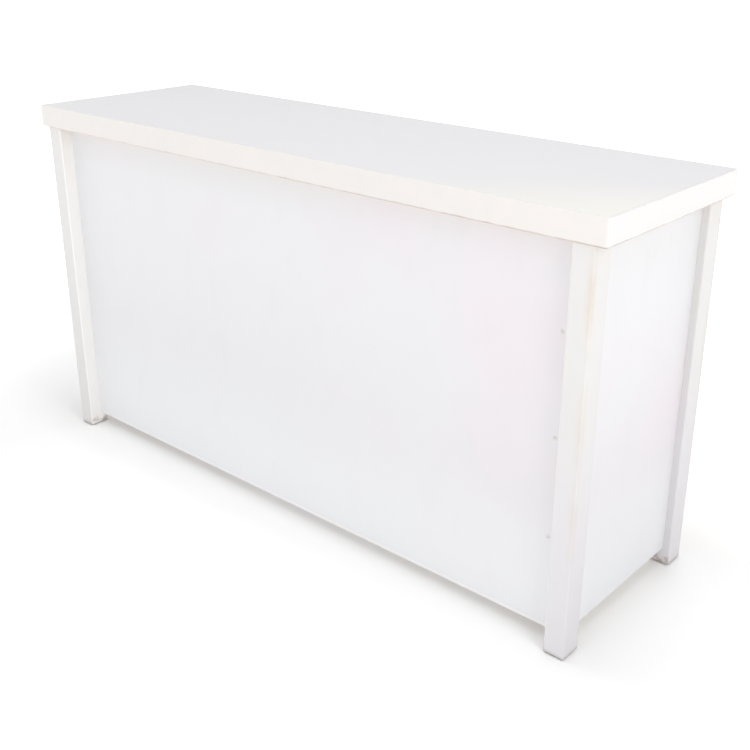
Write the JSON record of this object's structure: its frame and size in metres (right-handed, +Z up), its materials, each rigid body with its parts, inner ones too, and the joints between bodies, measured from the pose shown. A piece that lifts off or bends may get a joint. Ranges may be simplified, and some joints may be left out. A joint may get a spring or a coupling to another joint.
{
  "type": "folding portable bar",
  "caption": "White folding bar: a thick lift-off counter top on a panelled front frame with hinged end frames that fold in flat behind it, and a fold-up shelf on the serving side.",
  "frame": {"origin": "on the floor under the middle of the counter top", "axes": "+X along the counter to the right as a guest sees it, +Y to the serving side, +Z up"},
  "size_m": [2, 0.6, 1.08],
  "materials": {
    "counter_laminate": "satin white laminate",
    "counter_edge": "white painted edge",
    "panel_paint": "white painted board",
    "post_paint": "white painted timber, worn on the arrises",
    "frame_paint": "thinly painted timber",
    "hinge_steel": "zinc plated",
    "screw_steel": "dulled zinc plated",
    "glide_nylon": "dark moulded nylon",
    "peg_beech": "plain turned beech"
  },
  "bodies": {
    "front_frame": {"bracket_hinge_left_fixed_leaf": "hinge_steel", "bracket_hinge_right_fixed_leaf": "hinge_steel", "bracket_stile_left": "frame_paint", "bracket_stile_right": "frame_paint", "foot_glide_front_left": "glide_nylon", "foot_glide_front_right": "glide_nylon", "front_bottom_rail": "frame_paint", "front_panel": "panel_paint", "front_post_left": "post_paint", "front_post_right": "post_paint", "front_stile_left": "frame_paint", "front_stile_right": "frame_paint", "front_top_rail": "frame_paint", "hinge_lower_left_fixed_leaf": "hinge_steel", "hinge_lower_right_fixed_leaf": "hinge_steel", "hinge_upper_left_fixed_leaf": "hinge_steel", "hinge_upper_right_fixed_leaf": "hinge_steel", "locating_peg_left": "peg_beech", "locating_peg_right": "peg_beech", "panel_screw_left_1": "screw_steel", "panel_screw_left_2": "screw_steel", "panel_screw_left_3": "screw_steel", "panel_screw_right_1": "screw_steel", "panel_screw_right_2": "screw_steel", "panel_screw_right_3": "screw_steel", "shelf_hinge_fixed_leaf": "hinge_steel", "shelf_rail": "frame_paint"},
    "counter_top": {"top_board": "counter_laminate", "top_cross_batten_left": "frame_paint", "top_cross_batten_right": "frame_paint", "top_end_strip_left": "counter_edge", "top_end_strip_right": "counter_edge", "top_front_strip": "counter_edge", "top_rear_strip": "counter_edge"},
    "left_end": {"end_bottom_rail_left": "frame_paint", "end_panel_left": "panel_paint", "end_stile_left": "frame_paint", "end_top_rail_left": "frame_paint", "foot_glide_rear_left": "glide_nylon", "hinge_lower_left_moving_leaf": "hinge_steel", "hinge_upper_left_moving_leaf": "hinge_steel", "rear_post_left": "post_paint"},
    "right_end": {"end_bottom_rail_right": "frame_paint", "end_panel_right": "panel_paint", "end_stile_right": "frame_paint", "end_top_rail_right": "frame_paint", "foot_glide_rear_right": "glide_nylon", "hinge_lower_right_moving_leaf": "hinge_steel", "hinge_upper_right_moving_leaf": "hinge_steel", "rear_post_right": "post_paint"},
    "shelf": {"shelf_board": "frame_paint", "shelf_hinge_moving_leaf": "hinge_steel"},
    "left_bracket": {"bracket_hinge_left_moving_leaf": "hinge_steel", "shelf_bracket_left": "frame_paint"},
    "right_bracket": {"bracket_hinge_right_moving_leaf": "hinge_steel", "shelf_bracket_right": "frame_paint"}
  },
  "joints": [
    {"name": "top_lift", "type": "slide", "parent": "front_frame", "child": "counter_top", "axis": [0, 0, 1], "range_m": [0, 0.3]},
    {"name": "left_end_fold", "type": "hinge", "parent": "front_frame", "child": "left_end", "pos_m": [-0.911, -0.224, 0.5], "axis": [0, 0, -1], "range_deg": [0, 90]},
    {"name": "right_end_fold", "type": "hinge", "parent": "front_frame", "child": "right_end", "pos_m": [0.911, -0.224, 0.5], "axis": [0, 0, 1], "range_deg": [0, 90]},
    {"name": "shelf_fold", "type": "hinge", "parent": "front_frame", "child": "shelf", "pos_m": [0, -0.224, 0.625], "axis": [1, 0, 0], "range_deg": [0, 90]},
    {"name": "left_bracket_swing", "type": "hinge", "parent": "front_frame", "child": "left_bracket", "pos_m": [-0.295, -0.224, 0.44], "axis": [0, 0, -1], "range_deg": [0, 90]},
    {"name": "right_bracket_swing", "type": "hinge", "parent": "front_frame", "child": "right_bracket", "pos_m": [0.295, -0.224, 0.44], "axis": [0, 0, 1], "range_deg": [0, 90]}
  ]
}
